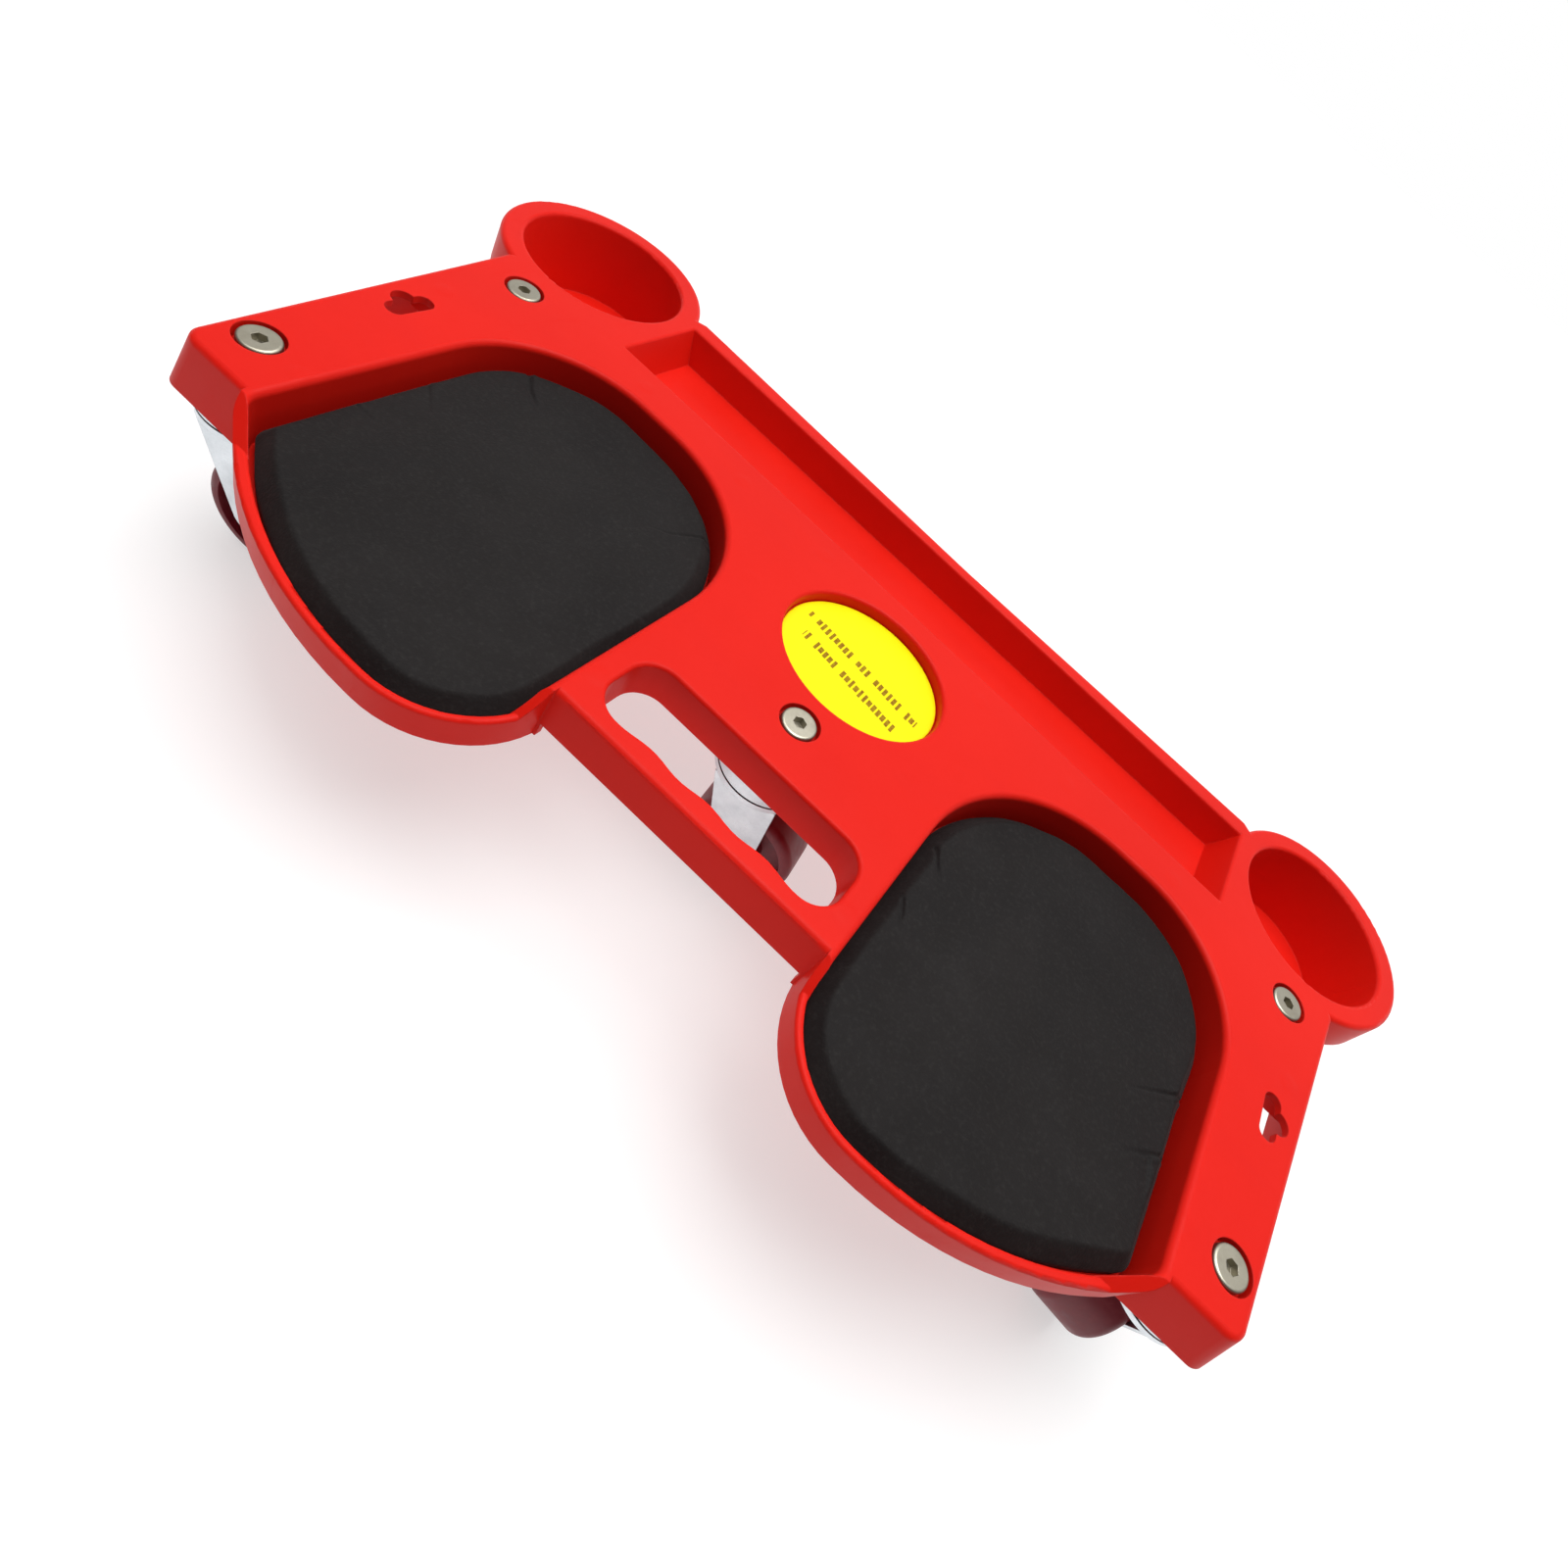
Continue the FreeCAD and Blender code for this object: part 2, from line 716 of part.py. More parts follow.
oval = doc.addObject("Part::Ellipse", "LabelOutline")
bind(oval, "MajorRadius", "label_long")
bind(oval, "MinorRadius", "label_short")
label = doc.addObject("Part::Extrusion", "label_plate")
label.Label = "label_plate"
label.Base = oval
label.DirMode = "Custom"
label.Dir = FreeCAD.Vector(0, 0, 1)
label.Solid = True
bind(label, "LengthFwd", "label_thickness")
place(label, "zero", "-label_y", "deck_height-label_recess")


# ---------------------------------------------------------------- casters
# Drawn about the swivel axis with the mounting face at height 0, trailing towards +X.

def turned(label_text, corners, bends=None):
    """Body turned about its own vertical axis from a closed half-section."""
    body = make_body(label_text)
    sketch = make_sketch(body, "Section_" + label_text, role="XZ_Plane")
    polygon(sketch, corners, bends)
    revolve(body, "Revolution", "Turned_" + label_text, sketch)
    return body


def make_cap_nut(tag):
    """Flat-headed cap nut: hex socket above, plain-bored barrel below."""
    body = turned("cap_nut_" + tag, [
        ("zero", "zero"),
        ("cap_radius", "zero"),
        ("cap_radius", "-cap_thickness"),
        ("barrel_radius", "-cap_thickness"),
        ("barrel_radius", "-cap_thickness-barrel_length"),
        ("stem_bore", "-cap_thickness-barrel_length"),
        ("stem_bore", "-cap_thickness-cap_edge"),
        ("zero", "-cap_thickness-cap_edge"),
    ], [None, "cap_bend"] + [None] * 6)
    socket = make_sketch(body, "Socket_" + tag)
    polygon(socket, [
        ("hex_half_flat", "-hex_half_side"),
        ("hex_half_flat", "hex_half_side"),
        ("zero", "hex_side"),
        ("-hex_half_flat", "hex_half_side"),
        ("-hex_half_flat", "-hex_half_side"),
        ("zero", "-hex_side"),
    ])
    pocket(body, socket, "SocketCut_" + tag, "hex_depth")
    return body


def make_top_plate(tag):
    """Upper half of the swivel: mounting disc, rolled rim and raised ball track."""
    return turned("top_plate_" + tag, [
        ("crown_bore", "zero"),
        ("plate_radius", "zero"),
        ("plate_radius", "-plate_rim_depth"),
        ("plate_radius-rim_wall", "-plate_rim_depth"),
        ("plate_radius-rim_wall", "-plate_thickness"),
        ("race_outer", "-plate_thickness"),
        ("race_outer", "-race_step"),
        ("race_inner", "-race_step"),
        ("race_inner", "-plate_thickness-rim_wall"),
        ("crown_bore", "-plate_thickness-rim_wall"),
    ])


def make_stem(tag):
    """Threaded stem with the collar the fork turns on and the riveted head below it."""
    return turned("stem_" + tag, [
        ("zero", "stem_top"),
        ("stem_radius-cap_edge", "stem_top"),
        ("stem_radius", "stem_top-cap_edge"),
        ("stem_radius", "zero"),
        ("collar_radius", "zero"),
        ("collar_radius", "-pin_head_top"),
        ("pin_head_radius", "-pin_head_top"),
        ("pin_head_radius", "-pin_head_low+cap_edge"),
        ("pin_head_radius-cap_edge", "-pin_head_low"),
        ("zero", "-pin_head_low"),
    ])


def make_balls(tag):
    """Ring of bearing balls between the two tracks; each ball is its own solid."""
    balls = []
    for i in range(BALL_COUNT):
        around = 2 * math.pi * i / BALL_COUNT
        centre = FreeCAD.Vector(dim("ball_circle") * math.cos(around),
                                dim("ball_circle") * math.sin(around), -dim("ball_level"))
        balls.append(Part.makeSphere(dim("ball_radius"), centre))
    ring = doc.addObject("Part::Feature", "swivel_balls_" + tag)
    ring.Label = "swivel_balls_" + tag
    ring.Shape = Part.makeCompound(balls)
    return ring


def make_fork(tag):
    """Pressed fork: dished crown with the lower ball track, and two legs."""
    body = turned("fork_" + tag, [
        ("crown_bore", "-crown_web"),
        ("crown_rim", "-crown_web"),
        ("crown_rim", "-crown_top"),
        ("crown_radius", "-crown_top"),
        ("crown_radius", "-crown_low"),
        ("crown_radius-crown_wall", "-crown_web_low"),
        ("crown_bore", "-crown_web_low"),
    ])
    for edge, sign in (("near", "-"), ("far", "")):
        level = "-leg_inner-leg_thickness" if sign else "leg_inner"
        leg = make_sketch(body, "Leg_%s_%s" % (edge, tag), role="XZ_Plane", level=level)
        polygon(leg, [
            ("-leg_top_half", "-crown_web_low+overlap"),
            ("leg_top_half", "-crown_web_low+overlap"),
            ("leg_front", "-leg_low"),
            ("leg_back", "-leg_low"),
        ], [None, None, "leg_bend", "leg_bend"])
        pad(body, leg, "LegPad_%s_%s" % (edge, tag), "leg_thickness")
    hole = make_sketch(body, "AxleHole_" + tag, role="XZ_Plane", level="-leg_inner-leg_thickness-overlap")
    circle(hole, "trail", "-axle_level", "axle_hole")
    pocket(body, hole, "AxleHoleCut_" + tag, "fork_span", downwards=False)
    return body


def make_axle(tag):
    """Axle bolt with a hexagon head; its far end is rounded."""
    body = make_body("axle_" + tag)
    head = make_sketch(body, "AxleHead_" + tag, role="XZ_Plane", level="leg_inner+leg_thickness")
    polygon(head, hex_outline("axle_head_half_flat", "axle_head_half_side", "axle_head_side"))
    pad(body, head, "AxleHeadPad_" + tag, "axle_head_height")
    blend(body, "Chamfer", "AxleHeadEdge_" + tag, "small_edge",
          lambda edge: edge.BoundBox.YLength < 0.01 and edge.CenterOfMass.y < -value_of("leg_inner+axle_head_height+overlap"))
    shank = make_sketch(body, "AxleShank_" + tag, role="XZ_Plane", level="-axle_end")
    circle(shank, "trail", "-axle_level", "axle_radius")
    pad(body, shank, "AxleShankPad_" + tag, "axle_end+leg_inner+leg_thickness+overlap")
    return body


def hex_outline(half_flat, half_side, full_side):
    """Hexagon round the axle, flats facing fore and aft."""
    return [
        ("trail+" + half_flat, "-axle_level-" + half_side),
        ("trail+" + half_flat, "-axle_level+" + half_side),
        ("trail", "-axle_level+" + full_side),
        ("trail-" + half_flat, "-axle_level+" + half_side),
        ("trail-" + half_flat, "-axle_level-" + half_side),
        ("trail", "-axle_level-" + full_side),
    ]


def make_axle_nut(tag):
    """Hexagon nut on the axle's plain end."""
    body = make_body("axle_nut_" + tag)
    blank = make_sketch(body, "NutBlank_" + tag, role="XZ_Plane", level="-leg_inner-leg_thickness-nut_thickness")
    polygon(blank, hex_outline("axle_head_half_flat", "axle_head_half_side", "axle_head_side"))
    circle(blank, "trail", "-axle_level", "nut_bore")
    pad(body, blank, "NutPad_" + tag, "nut_thickness")
    return body


def make_sleeve(tag):
    """Spacer tube between the legs; the wheel turns on it."""
    body = make_body("sleeve_" + tag)
    tube = make_sketch(body, "Tube_" + tag, role="XZ_Plane")
    circle(tube, "trail", "-axle_level", "sleeve_radius")
    circle(tube, "trail", "-axle_level", "sleeve_bore")
    pad(body, tube, "TubePad_" + tag, "leg_inner+leg_inner", midplane=True)
    return body


def make_wheel(tag):
    """One-piece wheel: rounded tread, dished faces and a hub, drawn about its own axle."""
    body = make_body("wheel_" + tag)
    section = make_sketch(body, "WheelSection_" + tag, role="XY_Plane", level="-axle_level")
    section.AttachmentOffset = FreeCAD.Placement(
        FreeCAD.Vector(dim("trail"), 0, -dim("axle_level")), FreeCAD.Rotation())
    section.setExpression("AttachmentOffset.Base.x", formula("trail"))
    polygon(section, [
        ("wheel_bore", "-hub_half_width"),
        ("hub_radius", "-hub_half_width"),
        ("hub_radius+small_edge", "-web_half"),
        ("web_outer", "-web_half"),
        ("web_outer+small_edge", "-wheel_half_width"),
        ("wheel_radius", "-wheel_half_width"),
        ("wheel_radius", "wheel_half_width"),
        ("web_outer+small_edge", "wheel_half_width"),
        ("web_outer", "web_half"),
        ("hub_radius+small_edge", "web_half"),
        ("hub_radius", "hub_half_width"),
        ("wheel_bore", "hub_half_width"),
    ], [None] * 5 + ["tread_bend", "tread_bend"] + [None] * 5)
    revolve(body, "Revolution", "WheelTurned_" + tag, section)
    return body


CASTERS = [
    ("front_left", "-front_caster_half", "-front_caster_y", 16.0),
    ("front_right", "front_caster_half", "-front_caster_y", 84.0),
    ("rear_left", "-rear_caster_half", "-rear_caster_y", 205.0),
    ("rear_right", "rear_caster_half", "-rear_caster_y", 250.0),
    ("middle", "zero", "-middle_caster_y", 8.0),
]
NUT_TURN = 17.0

pieces = [deck] + pads + [label]
for number, (tag, term_x, term_y, swivel) in enumerate(CASTERS):
    nut = make_cap_nut(tag)
    doc.recompute()
    place(nut, term_x, term_y, "deck_height-head_recess_depth+cap_thickness", NUT_TURN * number)
    fixed = [make_top_plate(tag), make_stem(tag), make_balls(tag)]
    for item in fixed:
        place(item, term_x, term_y, "deck_height-skirt_depth")
    moving = [make_fork(tag), make_axle(tag), make_axle_nut(tag), make_sleeve(tag), make_wheel(tag)]
    for item in moving:
        place(item, term_x, term_y, "deck_height-skirt_depth", swivel)
    pieces += [nut] + fixed + moving


# ---------------------------------------------------------------- checks and files

doc.recompute()
for obj in doc.Objects:
    if "Invalid" in obj.State or "Error" in obj.State:
        raise ValueError("%s is in a bad state" % obj.Label)
for piece in pieces:
    if piece.Shape.isNull() or not piece.Shape.isValid():
        raise ValueError("%s has no valid shape" % piece.Label)

box = FreeCAD.BoundBox()
for piece in pieces:
    shape = piece.Shape
    box.add(shape.BoundBox)
    shape.exportStep("parts/%s.step" % piece.Label)
    print("%-28s solids %2d volume %10.1f" % (piece.Label, len(shape.Solids), shape.Volume))
print("pieces", len(pieces), box)
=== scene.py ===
import math

import bpy
import numpy as np
from mathutils import Matrix, Vector


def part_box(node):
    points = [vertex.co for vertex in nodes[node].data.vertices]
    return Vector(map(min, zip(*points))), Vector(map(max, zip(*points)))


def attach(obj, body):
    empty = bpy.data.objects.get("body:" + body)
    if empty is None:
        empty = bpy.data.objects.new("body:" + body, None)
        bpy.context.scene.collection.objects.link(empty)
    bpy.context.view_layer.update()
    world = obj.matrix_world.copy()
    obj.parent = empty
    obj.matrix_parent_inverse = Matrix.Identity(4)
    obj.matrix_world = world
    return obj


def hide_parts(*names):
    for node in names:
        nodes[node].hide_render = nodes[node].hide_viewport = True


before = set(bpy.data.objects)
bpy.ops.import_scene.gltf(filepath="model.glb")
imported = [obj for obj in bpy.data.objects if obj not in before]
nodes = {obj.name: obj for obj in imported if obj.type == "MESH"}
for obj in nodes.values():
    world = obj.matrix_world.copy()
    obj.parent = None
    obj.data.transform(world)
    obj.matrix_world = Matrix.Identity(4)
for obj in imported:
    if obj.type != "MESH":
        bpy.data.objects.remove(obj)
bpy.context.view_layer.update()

MM = 0.001
CORNERS = ("front_left", "front_right", "rear_left", "rear_right", "middle")

# the deck's own drawing frame: Y 0 through both cup centres, Z 0 on the top skin
DECK_Y = 99.25
DECK_Z = 95.0


def deck_point(x, y, z=0.0):
    """Metres in the object's frame for a point in millimetres in the deck's drawing frame."""
    return Vector((x * MM, (y + DECK_Y) * MM, (z + DECK_Z) * MM))


# ---------------------------------------------------------------- camera, light and floor

def make_camera():
    data = bpy.data.cameras.new("camera")
    data.lens = 20.18
    data.sensor_width = 36.0
    data.clip_start = 0.01
    data.clip_end = 50.0
    camera = bpy.data.objects.new("camera", data)
    bpy.context.scene.collection.objects.link(camera)
    right = Vector((0.723587, 0.527421, 0.445251))
    down = Vector((0.688720, -0.508999, -0.516319))
    ahead = Vector((-0.045685, 0.680255, -0.731551))
    spot = (0.0264, -0.28045, 0.32008)
    turn = Matrix((right, -down, -ahead)).transposed()
    camera.matrix_world = Matrix.Translation(spot) @ turn.to_4x4()
    bpy.context.scene.camera = camera


def make_light(name, spot, target, size, power):
    """White soft box of the given width and depth in metres and power in watts."""
    data = bpy.data.lights.new(name, "AREA")
    data.shape = "RECTANGLE"
    data.size = size[0]
    data.size_y = size[1]
    data.energy = power
    light = bpy.data.objects.new(name, data)
    light.location = spot
    light.rotation_mode = "QUATERNION"
    light.rotation_quaternion = (Vector(target) - Vector(spot)).to_track_quat("-Z", "Y")
    bpy.context.scene.collection.objects.link(light)


def make_world():
    """Dim studio air, brighter behind the board and white along the horizon."""
    world = bpy.data.worlds.new("studio")
    world.use_nodes = True
    tree = world.node_tree
    back = tree.nodes["Background"]
    back.inputs["Color"].default_value = (1.0, 1.0, 1.0, 1.0)

    def node(kind, *inputs, **settings):
        made = tree.nodes.new(kind)
        for name, value in settings.items():
            setattr(made, name, value)
        for slot, value in enumerate(inputs):
            if hasattr(value, "is_output"):
                tree.links.new(value, made.inputs[slot])
            else:
                made.inputs[slot].default_value = value
        return made

    def ease(source, low, high, to_low, to_high):
        span = (source, low, high, to_low, to_high)
        return node("ShaderNodeMapRange", *span, interpolation_type="SMOOTHSTEP").outputs[0]

    way = tree.nodes.new("ShaderNodeTexCoord").outputs["Generated"]
    glow_heading = (0.0, 0.74, 0.67)
    behind = node("ShaderNodeVectorMath", way, glow_heading, operation="DOT_PRODUCT").outputs["Value"]
    glow = ease(behind, 0.10, 0.95, 0.10, 0.62)
    parts = node("ShaderNodeSeparateXYZ", way).outputs
    level = node("ShaderNodeMath", parts["Z"], operation="ABSOLUTE").outputs[0]
    band = ease(level, 0.16, 0.26, 1.0, 0.0)
    far_side = ease(parts["Y"], -0.10, 0.20, 0.0, 1.0)
    band = node("ShaderNodeMath", band, far_side, operation="MULTIPLY").outputs[0]
    both = node("ShaderNodeMath", glow, band, operation="MAXIMUM").outputs[0]
    tree.links.new(both, back.inputs["Strength"])
    bpy.context.scene.world = world


def make_floor():
    """Pale paper that glows a little, more so away from the board."""
    half = 6.0
    mesh = bpy.data.meshes.new("floor")
    corners = [(-half, -half, 0), (half, -half, 0), (half, half, 0), (-half, half, 0)]
    mesh.from_pydata(corners, [], [(0, 1, 2, 3)])
    floor = bpy.data.objects.new("floor", mesh)
    bpy.context.scene.collection.objects.link(floor)
    graph = Graph("floor_paper")
    tone = graph.noise(3.0, 2.0, 0.5)
    paper = graph.ramp(tone, [(0.3, (0.45, 0.45, 0.45)), (0.7, (0.475, 0.475, 0.473))])
    graph.feed("Base Color", paper)
    graph.feed("Roughness", 0.9)
    graph.shader.inputs["Specular IOR Level"].default_value = 0.2
    graph.shader.inputs["Emission Color"].default_value = (1.0, 1.0, 1.0, 1.0)
    # painted light: the floor's glow lifts the shade under and round the board, weaker near it and
    # full far away
    away = graph.plan_distance(0.0, 0.0)
    graph.feed("Emission Strength", graph.span(away, 0.5, 2.4, 0.56, 1.0, smooth=True))
    mesh.materials.append(graph.material)


# ---------------------------------------------------------------- material helper

class Graph:
    """A material's node tree with a Principled shader, built a few nodes at a time."""

    def __init__(self, name):
        self.material = bpy.data.materials.new(name)
        self.material.use_nodes = True
        self.tree = self.material.node_tree
        self.shader = self.tree.nodes["Principled BSDF"]
        self.place = self.add("ShaderNodeTexCoord").outputs["Object"]

    def add(self, kind):
        return self.tree.nodes.new(kind)

    def link(self, source, target):
        if isinstance(source, (int, float)):
            target.default_value = source
        elif isinstance(source, tuple):
            target.default_value = source + (1.0,) if len(source) == 3 else source
        else:
            self.tree.links.new(source, target)

    def math(self, kind, first, second=0.0, clamp=False):
        node = self.add("ShaderNodeMath")
        node.operation = kind
        node.use_clamp = clamp
        self.link(first, node.inputs[0])
        self.link(second, node.inputs[1])
        return node.outputs[0]

    def stretch(self, scale, turn=0.0):
        """Object coordinates scaled along each axis and turned about Z, in radians."""
        node = self.add("ShaderNodeMapping")
        self.tree.links.new(self.place, node.inputs["Vector"])
        node.inputs["Scale"].default_value = scale
        node.inputs["Rotation"].default_value = (0.0, 0.0, turn)
        return node.outputs[0]

    def noise(self, scale, detail=2.0, rough=0.5, place=None, twist=0.0):
        node = self.add("ShaderNodeTexNoise")
        self.tree.links.new(place or self.place, node.inputs["Vector"])
        node.inputs["Scale"].default_value = scale
        node.inputs["Detail"].default_value = detail
        node.inputs["Roughness"].default_value = rough
        node.inputs["Distortion"].default_value = twist
        return node.outputs["Fac"]

    def cells(self, scale):
        node = self.add("ShaderNodeTexVoronoi")
        self.tree.links.new(self.place, node.inputs["Vector"])
        node.inputs["Scale"].default_value = scale
        return node.outputs["Distance"]

    def ramp(self, source, stops):
        node = self.add("ShaderNodeValToRGB")
        self.tree.links.new(source, node.inputs["Fac"])
        ramp = node.color_ramp
        while len(ramp.elements) < len(stops):
            ramp.elements.new(0.5)
        for element, (spot, colour) in zip(ramp.elements, stops):
            element.position = spot
            element.color = colour + (1.0,)
        return node.outputs["Color"]

    def span(self, source, low, high, to_low, to_high, smooth=False):
        node = self.add("ShaderNodeMapRange")
        node.interpolation_type = "SMOOTHSTEP" if smooth else "LINEAR"
        self.tree.links.new(source, node.inputs["Value"])
        node.inputs["From Min"].default_value = low
        node.inputs["From Max"].default_value = high
        node.inputs["To Min"].default_value = to_low
        node.inputs["To Max"].default_value = to_high
        return node.outputs[0]

    def mix(self, amount, first, second):
        node = self.add("ShaderNodeMix")
        node.data_type = "RGBA"
        self.link(amount, node.inputs["Factor"])
        self.link(first, node.inputs["A"])
        self.link(second, node.inputs["B"])
        return node.outputs["Result"]

    def plan_distance(self, x, y):
        """Distance in metres from a point, measured in plan."""
        flat = self.add("ShaderNodeVectorMath")
        flat.operation = "MULTIPLY"
        self.tree.links.new(self.place, flat.inputs[0])
        flat.inputs[1].default_value = (1.0, 1.0, 0.0)
        node = self.add("ShaderNodeVectorMath")
        node.operation = "DISTANCE"
        self.tree.links.new(flat.outputs[0], node.inputs[0])
        node.inputs[1].default_value = (x, y, 0.0)
        return node.outputs["Value"]

    def plan_axes(self):
        node = self.add("ShaderNodeSeparateXYZ")
        self.tree.links.new(self.place, node.inputs[0])
        return node.outputs["X"], node.outputs["Y"]

    def edge_wear(self, radius):
        """1 on convex and concave edges, 0 on broad faces."""
        bevel = self.add("ShaderNodeBevel")
        bevel.samples = 4
        bevel.inputs["Radius"].default_value = radius
        face = self.add("ShaderNodeNewGeometry")
        dot = self.add("ShaderNodeVectorMath")
        dot.operation = "DOT_PRODUCT"
        self.tree.links.new(bevel.outputs[0], dot.inputs[0])
        self.tree.links.new(face.outputs["Normal"], dot.inputs[1])
        return self.math("SUBTRACT", 1.0, dot.outputs["Value"], clamp=True)

    def bump(self, height, strength, reach, normal=None):
        node = self.add("ShaderNodeBump")
        self.tree.links.new(height, node.inputs["Height"])
        node.inputs["Strength"].default_value = strength
        node.inputs["Distance"].default_value = reach
        if normal is not None:
            self.tree.links.new(normal, node.inputs["Normal"])
        return node.outputs["Normal"]

    def soft_normal(self, radius):
        """Normal that rounds sharp edges by a small radius."""
        bevel = self.add("ShaderNodeBevel")
        bevel.samples = 4
        bevel.inputs["Radius"].default_value = radius
        return bevel.outputs[0]

    def feed(self, socket, source):
        self.link(source, self.shader.inputs[socket])


# ---------------------------------------------------------------- materials

# faint sink marks in the top skin, in the deck's drawing frame
SINK_MARKS = [
    (-58, -100), (-48, -52), (46, -53), (42, -122), (58, -101), (98, -54),
    (-57, -193), (-208, -188), (-235, -100), (235, -100), (-98, -54), (-42, -122),
    (57, -193), (208, -188), (160, -52), (-160, -52),
]


def red_plastic():
    """Moulded red plastic with cloudy colour, fine grain, scuffs and worn edges."""
    graph = Graph("moulded_red")
    cloud = graph.noise(9.0, 3.0, 0.55)
    grain = graph.noise(700.0, 2.0, 0.6)
    flow = graph.noise(1.0, 3.0, 0.6, place=graph.stretch((6.0, 26.0, 26.0)), twist=0.6)
    base = graph.ramp(cloud, [(0.30, (0.640, 0.0095, 0.0040)), (0.72, (0.700, 0.0115, 0.0050))])
    base = graph.mix(graph.span(flow, 0.45, 0.75, 0.0, 0.22), base, (0.590, 0.0070, 0.0070))
    base = graph.mix(graph.span(grain, 0.35, 0.75, 0.0, 0.10), base, (0.740, 0.0200, 0.0170))
    wear = graph.edge_wear(0.0011)
    broken = graph.noise(260.0, 3.0, 0.7)
    worn = graph.math("MULTIPLY", graph.span(wear, 0.02, 0.25, 0.0, 1.0),
                      graph.span(broken, 0.42, 0.62, 0.0, 0.28), clamp=True)
    base = graph.mix(worn, base, (0.80, 0.060, 0.048))
    graph.feed("Base Color", base)
    scuffs = graph.noise(1.0, 4.0, 0.75, place=graph.stretch((190.0, 34.0, 60.0), turn=0.5))
    rough = graph.span(graph.noise(38.0, 3.0, 0.6), 0.3, 0.7, 0.36, 0.46)
    rough = graph.math("ADD", rough, graph.span(scuffs, 0.60, 0.78, 0.0, 0.12), clamp=True)
    graph.feed("Roughness", rough)
    height = graph.math("MULTIPLY", grain, 0.35)
    height = graph.math("ADD", height, graph.math("MULTIPLY", graph.noise(130.0, 2.0, 0.5), 0.55))
    normal = graph.bump(height, 0.22, 0.00012, graph.soft_normal(0.0007))
    dents = None
    for x, y in SINK_MARKS:
        spot = deck_point(x, y)
        away = graph.plan_distance(spot.x, spot.y)
        dent = graph.span(away, 0.0016, 0.0052, 1.0, 0.0, smooth=True)
        dents = dent if dents is None else graph.math("ADD", dents, dent)
    swell = graph.math("ADD", dents, graph.math("MULTIPLY", graph.noise(22.0, 1.0, 0.4), 1.6))
    normal = graph.bump(swell, 0.30, 0.00040, normal)
    graph.feed("Normal", normal)
    graph.shader.inputs["IOR"].default_value = 1.49
    graph.shader.inputs["Specular IOR Level"].default_value = 0.10
    graph.shader.inputs["Subsurface Weight"].default_value = 0.04
    graph.shader.inputs["Subsurface Radius"].default_value = (0.004, 0.0006, 0.0004)
    return graph.material


def pad_foam():
    """Dark closed-cell foam with pores, crinkles and paler worn edges."""
    graph = Graph("pad_foam")
    cloud = graph.noise(16.0, 4.0, 0.6, twist=0.4)
    patch = graph.noise(55.0, 4.0, 0.65)
    speck = graph.noise(620.0, 2.0, 0.6)
    base = graph.ramp(cloud, [(0.32, (0.0062, 0.0048, 0.0049)), (0.68, (0.0112, 0.0092, 0.0090))])
    base = graph.mix(graph.span(patch, 0.40, 0.70, 0.0, 0.45), base, (0.0145, 0.0125, 0.0120))
    base = graph.mix(graph.span(speck, 0.50, 0.80, 0.0, 0.40), base, (0.0270, 0.0250, 0.0235))
    wear = graph.edge_wear(0.0016)
    base = graph.mix(graph.span(wear, 0.01, 0.20, 0.0, 0.35), base, (0.0300, 0.0275, 0.0255))
    graph.feed("Base Color", base)
    graph.feed("Roughness", graph.span(patch, 0.3, 0.7, 0.62, 0.80))
    pores = graph.cells(1150.0)
    pits = graph.math("MULTIPLY", pores, 0.8)
    height = graph.math("ADD", pits, graph.math("MULTIPLY", speck, 0.7))
    normal = graph.bump(height, 0.40, 0.00022)
    crinkle = graph.noise(85.0, 5.0, 0.7, twist=0.8)
    normal = graph.bump(crinkle, 0.35, 0.00060, normal)
    graph.feed("Normal", normal)
    graph.shader.inputs["Specular IOR Level"].default_value = 0.14
    graph.shader.inputs["Sheen Weight"].default_value = 0.04
    graph.shader.inputs["Sheen Roughness"].default_value = 0.5
    return graph.material


def metal(name, colour, dull, rough, scratch_turn=0.0, scratch=0.12):
    """Plated or plain metal with drawn scratches, cloudy tone and softened edges."""
    graph = Graph(name)
    cloud = graph.noise(120.0, 3.0, 0.6)
    drawn = graph.stretch((2600.0, 160.0, 900.0), turn=scratch_turn)
    lines = graph.noise(1.0, 3.0, 0.7, place=drawn)
    base = graph.mix(graph.span(cloud, 0.35, 0.70, 0.0, 1.0), colour, dull)
    base = graph.mix(graph.span(lines, 0.55, 0.80, 0.0, 0.35), base, tuple(0.62 * c for c in colour))
    graph.feed("Base Color", base)
    tone = graph.span(cloud, 0.3, 0.7, rough, rough + 0.12)
    rubbed = graph.span(lines, 0.5, 0.8, 0.0, 0.14)
    graph.feed("Roughness", graph.math("ADD", tone, rubbed, clamp=True))
    normal = graph.bump(lines, scratch, 0.00005, graph.soft_normal(0.00035))
    graph.feed("Normal", normal)
    graph.shader.inputs["Metallic"].default_value = 1.0
    return graph.material


def wheel_plastic():
    """Dark red wheel plastic with dust and paler worn edges."""
    graph = Graph("wheel_plastic")
    cloud = graph.noise(60.0, 3.0, 0.6)
    dust = graph.noise(240.0, 4.0, 0.7)
    base = graph.ramp(cloud, [(0.3, (0.150, 0.0060, 0.0140)), (0.7, (0.215, 0.0100, 0.0210))])
    base = graph.mix(graph.span(dust, 0.52, 0.80, 0.0, 0.45), base, (0.260, 0.060, 0.062))
    wear = graph.edge_wear(0.0009)
    base = graph.mix(graph.span(wear, 0.02, 0.3, 0.0, 0.4), base, (0.36, 0.045, 0.055))
    graph.feed("Base Color", base)
    graph.feed("Roughness", graph.span(dust, 0.3, 0.7, 0.34, 0.56))
    normal = graph.bump(dust, 0.25, 0.00012, graph.soft_normal(0.0005))
    graph.feed("Normal", normal)
    graph.shader.inputs["Specular IOR Level"].default_value = 0.45
    return graph.material


